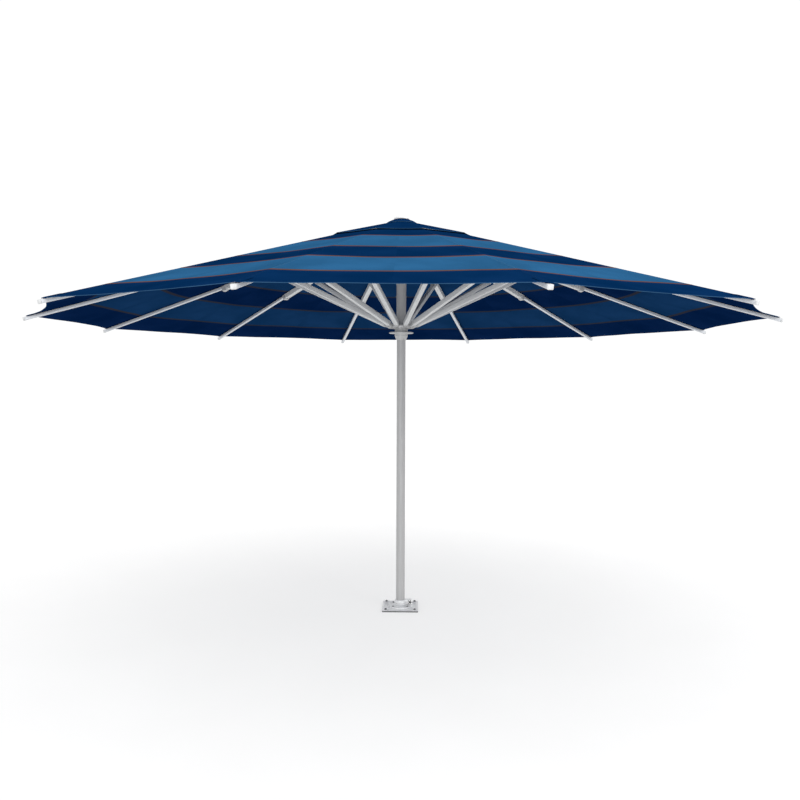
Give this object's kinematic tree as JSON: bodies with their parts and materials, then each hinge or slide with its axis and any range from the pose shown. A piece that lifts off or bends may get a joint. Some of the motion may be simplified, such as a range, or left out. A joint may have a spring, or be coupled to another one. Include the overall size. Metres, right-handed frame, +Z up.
{
  "type": "patio umbrella with base",
  "caption": "Large centre-pole patio umbrella with a striped two-tier canopy, hinged ribs and struts, a sliding runner and a square plate bolted to the ground.",
  "frame": {"origin": "centre of the base plate's underside, on the ground", "axes": "+Z up along the mast; +X towards the clamp knob's side; a flat side of the canopy faces -Y"},
  "size_m": [5.8562, 5.8562, 3.4093],
  "materials": {
    "canopy_fabric": "woven acrylic canvas, navy with steel-blue bands and brown piping",
    "mast_aluminium": "satin anodised",
    "frame_paint": "light grey powder coat on aluminium",
    "galvanised": "galvanised, satin",
    "bolt_steel": "zinc plated",
    "light_plastic": "matt moulded",
    "dark_plastic": "matt moulded"
  },
  "bodies": {
    "root": {"base_plate": "galvanised", "mast_socket": "galvanised", "anchor_bolt_1": "bolt_steel", "anchor_bolt_2": "bolt_steel", "anchor_bolt_3": "bolt_steel", "anchor_bolt_4": "bolt_steel", "flange_bolt_1": "bolt_steel", "flange_bolt_2": "bolt_steel", "flange_bolt_3": "bolt_steel", "flange_bolt_4": "bolt_steel", "clamp_nut": "bolt_steel", "mast_lower": "mast_aluminium", "mast_upper": "mast_aluminium", "mast_joint_bolt": "bolt_steel", "crown_hub": "galvanised", "crown_pivot_ring": "bolt_steel", "crown_plate": "galvanised", "canopy_cap": "canopy_fabric", "finial": "light_plastic"},
    "clamp_knob": {"clamp_knob": "dark_plastic"},
    "runner": {"runner_sleeve": "frame_paint", "runner_bush": "light_plastic", "runner_disc": "frame_paint"},
    "runner_knob": {"runner_knob": "dark_plastic"},
    "rib_1": {"rib_1": "frame_paint", "canopy_panel_1": "canopy_fabric"},
    "strut_1": {"strut_1": "frame_paint"},
    "rib_2": {"rib_2": "frame_paint", "canopy_panel_2": "canopy_fabric"},
    "strut_2": {"strut_2": "frame_paint"},
    "rib_3": {"rib_3": "frame_paint", "canopy_panel_3": "canopy_fabric"},
    "strut_3": {"strut_3": "frame_paint"},
    "rib_4": {"rib_4": "frame_paint", "canopy_panel_4": "canopy_fabric"},
    "strut_4": {"strut_4": "frame_paint"},
    "rib_5": {"rib_5": "frame_paint", "canopy_panel_5": "canopy_fabric"},
    "strut_5": {"strut_5": "frame_paint"},
    "rib_6": {"rib_6": "frame_paint", "canopy_panel_6": "canopy_fabric"},
    "strut_6": {"strut_6": "frame_paint"},
    "rib_7": {"rib_7": "frame_paint", "canopy_panel_7": "canopy_fabric"},
    "strut_7": {"strut_7": "frame_paint"},
    "rib_8": {"rib_8": "frame_paint", "canopy_panel_8": "canopy_fabric"},
    "strut_8": {"strut_8": "frame_paint"},
    "rib_9": {"rib_9": "frame_paint", "canopy_panel_9": "canopy_fabric"},
    "strut_9": {"strut_9": "frame_paint"},
    "rib_10": {"rib_10": "frame_paint", "canopy_panel_10": "canopy_fabric"},
    "strut_10": {"strut_10": "frame_paint"},
    "rib_11": {"rib_11": "frame_paint", "canopy_panel_11": "canopy_fabric"},
    "strut_11": {"strut_11": "frame_paint"},
    "rib_12": {"rib_12": "frame_paint", "canopy_panel_12": "canopy_fabric"},
    "strut_12": {"strut_12": "frame_paint"}
  },
  "joints": [
    {"name": "runner_slide", "type": "slide", "parent": "root", "child": "runner", "axis": [0, 0, -1], "range_m": [0, 1.4678]},
    {"name": "rib_1_hinge", "type": "hinge", "parent": "root", "child": "rib_1", "pos_m": [0.10142, 0.02718, 3.3191], "axis": [-0.2588, 0.9659, 0], "range_deg": [0, 69.44], "deforming": ["canopy_panel_1"]},
    {"name": "strut_1_hinge", "type": "hinge", "parent": "rib_1", "child": "strut_1", "pos_m": [1.14359, 0.30642, 2.94785], "axis": [-0.2588, 0.9659, 0], "range_deg": [-133.32, 0]},
    {"name": "rib_2_hinge", "type": "hinge", "parent": "root", "child": "rib_2", "pos_m": [0.07425, 0.07425, 3.3191], "axis": [-0.7071, 0.7071, 0], "range_deg": [0, 69.44], "deforming": ["canopy_panel_2"]},
    {"name": "strut_2_hinge", "type": "hinge", "parent": "rib_2", "child": "strut_2", "pos_m": [0.83716, 0.83716, 2.94785], "axis": [-0.7071, 0.7071, 0], "range_deg": [-133.32, 0]},
    {"name": "rib_3_hinge", "type": "hinge", "parent": "root", "child": "rib_3", "pos_m": [0.02718, 0.10142, 3.3191], "axis": [-0.9659, 0.2588, 0], "range_deg": [0, 69.44], "deforming": ["canopy_panel_3"]},
    {"name": "strut_3_hinge", "type": "hinge", "parent": "rib_3", "child": "strut_3", "pos_m": [0.30642, 1.14359, 2.94785], "axis": [-0.9659, 0.2588, 0], "range_deg": [-133.32, 0]},
    {"name": "rib_4_hinge", "type": "hinge", "parent": "root", "child": "rib_4", "pos_m": [-0.02718, 0.10142, 3.3191], "axis": [-0.9659, -0.2588, 0], "range_deg": [0, 69.44], "deforming": ["canopy_panel_4"]},
    {"name": "strut_4_hinge", "type": "hinge", "parent": "rib_4", "child": "strut_4", "pos_m": [-0.30642, 1.14359, 2.94785], "axis": [-0.9659, -0.2588, 0], "range_deg": [-133.32, 0]},
    {"name": "rib_5_hinge", "type": "hinge", "parent": "root", "child": "rib_5", "pos_m": [-0.07425, 0.07425, 3.3191], "axis": [-0.7071, -0.7071, 0], "range_deg": [0, 69.44], "deforming": ["canopy_panel_5"]},
    {"name": "strut_5_hinge", "type": "hinge", "parent": "rib_5", "child": "strut_5", "pos_m": [-0.83716, 0.83716, 2.94785], "axis": [-0.7071, -0.7071, 0], "range_deg": [-133.32, 0]},
    {"name": "rib_6_hinge", "type": "hinge", "parent": "root", "child": "rib_6", "pos_m": [-0.10142, 0.02718, 3.3191], "axis": [-0.2588, -0.9659, 0], "range_deg": [0, 69.44], "deforming": ["canopy_panel_6"]},
    {"name": "strut_6_hinge", "type": "hinge", "parent": "rib_6", "child": "strut_6", "pos_m": [-1.14359, 0.30642, 2.94785], "axis": [-0.2588, -0.9659, 0], "range_deg": [-133.32, 0]},
    {"name": "rib_7_hinge", "type": "hinge", "parent": "root", "child": "rib_7", "pos_m": [-0.10142, -0.02718, 3.3191], "axis": [0.2588, -0.9659, 0], "range_deg": [0, 69.44], "deforming": ["canopy_panel_7"]},
    {"name": "strut_7_hinge", "type": "hinge", "parent": "rib_7", "child": "strut_7", "pos_m": [-1.14359, -0.30642, 2.94785], "axis": [0.2588, -0.9659, 0], "range_deg": [-133.32, 0]},
    {"name": "rib_8_hinge", "type": "hinge", "parent": "root", "child": "rib_8", "pos_m": [-0.07425, -0.07425, 3.3191], "axis": [0.7071, -0.7071, 0], "range_deg": [0, 69.44], "deforming": ["canopy_panel_8"]},
    {"name": "strut_8_hinge", "type": "hinge", "parent": "rib_8", "child": "strut_8", "pos_m": [-0.83716, -0.83716, 2.94785], "axis": [0.7071, -0.7071, 0], "range_deg": [-133.32, 0]},
    {"name": "rib_9_hinge", "type": "hinge", "parent": "root", "child": "rib_9", "pos_m": [-0.02718, -0.10142, 3.3191], "axis": [0.9659, -0.2588, 0], "range_deg": [0, 69.44], "deforming": ["canopy_panel_9"]},
    {"name": "strut_9_hinge", "type": "hinge", "parent": "rib_9", "child": "strut_9", "pos_m": [-0.30642, -1.14359, 2.94785], "axis": [0.9659, -0.2588, 0], "range_deg": [-133.32, 0]},
    {"name": "rib_10_hinge", "type": "hinge", "parent": "root", "child": "rib_10", "pos_m": [0.02718, -0.10142, 3.3191], "axis": [0.9659, 0.2588, 0], "range_deg": [0, 69.44], "deforming": ["canopy_panel_10"]},
    {"name": "strut_10_hinge", "type": "hinge", "parent": "rib_10", "child": "strut_10", "pos_m": [0.30642, -1.14359, 2.94785], "axis": [0.9659, 0.2588, 0], "range_deg": [-133.32, 0]},
    {"name": "rib_11_hinge", "type": "hinge", "parent": "root", "child": "rib_11", "pos_m": [0.07425, -0.07425, 3.3191], "axis": [0.7071, 0.7071, 0], "range_deg": [0, 69.44], "deforming": ["canopy_panel_11"]},
    {"name": "strut_11_hinge", "type": "hinge", "parent": "rib_11", "child": "strut_11", "pos_m": [0.83716, -0.83716, 2.94785], "axis": [0.7071, 0.7071, 0], "range_deg": [-133.32, 0]},
    {"name": "rib_12_hinge", "type": "hinge", "parent": "root", "child": "rib_12", "pos_m": [0.10142, -0.02718, 3.3191], "axis": [0.2588, 0.9659, 0], "range_deg": [0, 69.44], "deforming": ["canopy_panel_12"]},
    {"name": "strut_12_hinge", "type": "hinge", "parent": "rib_12", "child": "strut_12", "pos_m": [1.14359, -0.30642, 2.94785], "axis": [0.2588, 0.9659, 0], "range_deg": [-133.32, 0]},
    {"name": "clamp_knob_turn", "type": "hinge", "parent": "root", "child": "clamp_knob", "pos_m": [0.083, 0, 0.0523], "axis": [0, -1, 0], "range_deg": [0, 720]},
    {"name": "runner_knob_turn", "type": "hinge", "parent": "runner", "child": "runner_knob", "pos_m": [0, 0.07, 2.3775], "axis": [0, 1, 0], "range_deg": [0, 540]}
  ],
  "couplings": [
    {"joint": "rib_1_hinge", "follows": "runner_slide", "rad_per_m": 0.8255},
    {"joint": "strut_1_hinge", "follows": "runner_slide", "rad_per_m": -1.585},
    {"joint": "rib_2_hinge", "follows": "runner_slide", "rad_per_m": 0.8255},
    {"joint": "strut_2_hinge", "follows": "runner_slide", "rad_per_m": -1.585},
    {"joint": "rib_3_hinge", "follows": "runner_slide", "rad_per_m": 0.8255},
    {"joint": "strut_3_hinge", "follows": "runner_slide", "rad_per_m": -1.585},
    {"joint": "rib_4_hinge", "follows": "runner_slide", "rad_per_m": 0.8255},
    {"joint": "strut_4_hinge", "follows": "runner_slide", "rad_per_m": -1.585},
    {"joint": "rib_5_hinge", "follows": "runner_slide", "rad_per_m": 0.8255},
    {"joint": "strut_5_hinge", "follows": "runner_slide", "rad_per_m": -1.585},
    {"joint": "rib_6_hinge", "follows": "runner_slide", "rad_per_m": 0.8255},
    {"joint": "strut_6_hinge", "follows": "runner_slide", "rad_per_m": -1.585},
    {"joint": "rib_7_hinge", "follows": "runner_slide", "rad_per_m": 0.8255},
    {"joint": "strut_7_hinge", "follows": "runner_slide", "rad_per_m": -1.585},
    {"joint": "rib_8_hinge", "follows": "runner_slide", "rad_per_m": 0.8255},
    {"joint": "strut_8_hinge", "follows": "runner_slide", "rad_per_m": -1.585},
    {"joint": "rib_9_hinge", "follows": "runner_slide", "rad_per_m": 0.8255},
    {"joint": "strut_9_hinge", "follows": "runner_slide", "rad_per_m": -1.585},
    {"joint": "rib_10_hinge", "follows": "runner_slide", "rad_per_m": 0.8255},
    {"joint": "strut_10_hinge", "follows": "runner_slide", "rad_per_m": -1.585},
    {"joint": "rib_11_hinge", "follows": "runner_slide", "rad_per_m": 0.8255},
    {"joint": "strut_11_hinge", "follows": "runner_slide", "rad_per_m": -1.585},
    {"joint": "rib_12_hinge", "follows": "runner_slide", "rad_per_m": 0.8255},
    {"joint": "strut_12_hinge", "follows": "runner_slide", "rad_per_m": -1.585}
  ]
}
